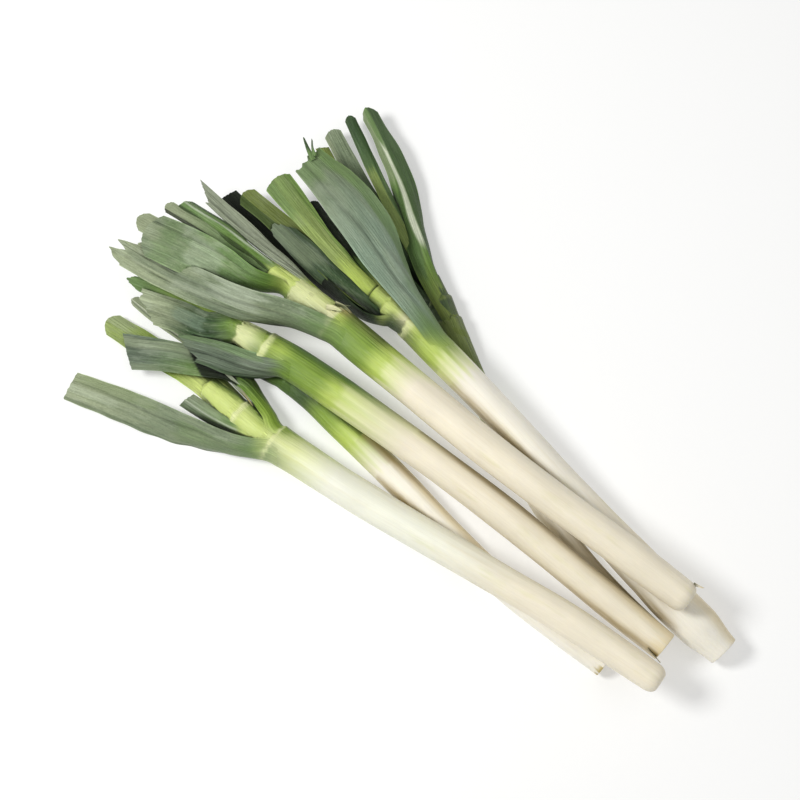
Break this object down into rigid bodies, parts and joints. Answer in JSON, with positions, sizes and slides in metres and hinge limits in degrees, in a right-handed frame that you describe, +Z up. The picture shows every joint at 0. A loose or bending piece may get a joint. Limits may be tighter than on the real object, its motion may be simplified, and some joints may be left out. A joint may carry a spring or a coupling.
{
  "type": "spring onion bunch",
  "caption": "Loose bunch of long trimmed spring onions lying across each other, with thick white shafts, stepped green necks and cut, folded and torn leaf blades",
  "frame": {"origin": "on the surface under the middle of the bunch, at the bottom centre of its box", "axes": "+X runs along the bunch from the trimmed root ends to the cut leaf tips, +Y across it, +Z up"},
  "size_m": [0.4646, 0.2794, 0.0545],
  "materials": {
    "onion_white": "satin, moist cream-white skin of a leaf sheath, with fine lengthwise ribs",
    "onion_leaf": "waxy blue-green leaf with fine lengthwise ribs, yellow-green to cream at its sheath"
  },
  "bodies": {
    "root": {"stalk_a_shaft": "onion_white", "stalk_b_shaft": "onion_white", "stalk_c_shaft": "onion_white", "stalk_d_shaft": "onion_white", "stalk_e_shaft": "onion_white", "stalk_f_shaft": "onion_white", "stalk_a_greens": "onion_leaf", "stalk_b_greens": "onion_leaf", "stalk_c_greens": "onion_leaf", "stalk_d_greens": "onion_leaf", "stalk_e_greens": "onion_leaf", "stalk_f_greens": "onion_leaf"}
  },
  "joints": []
}
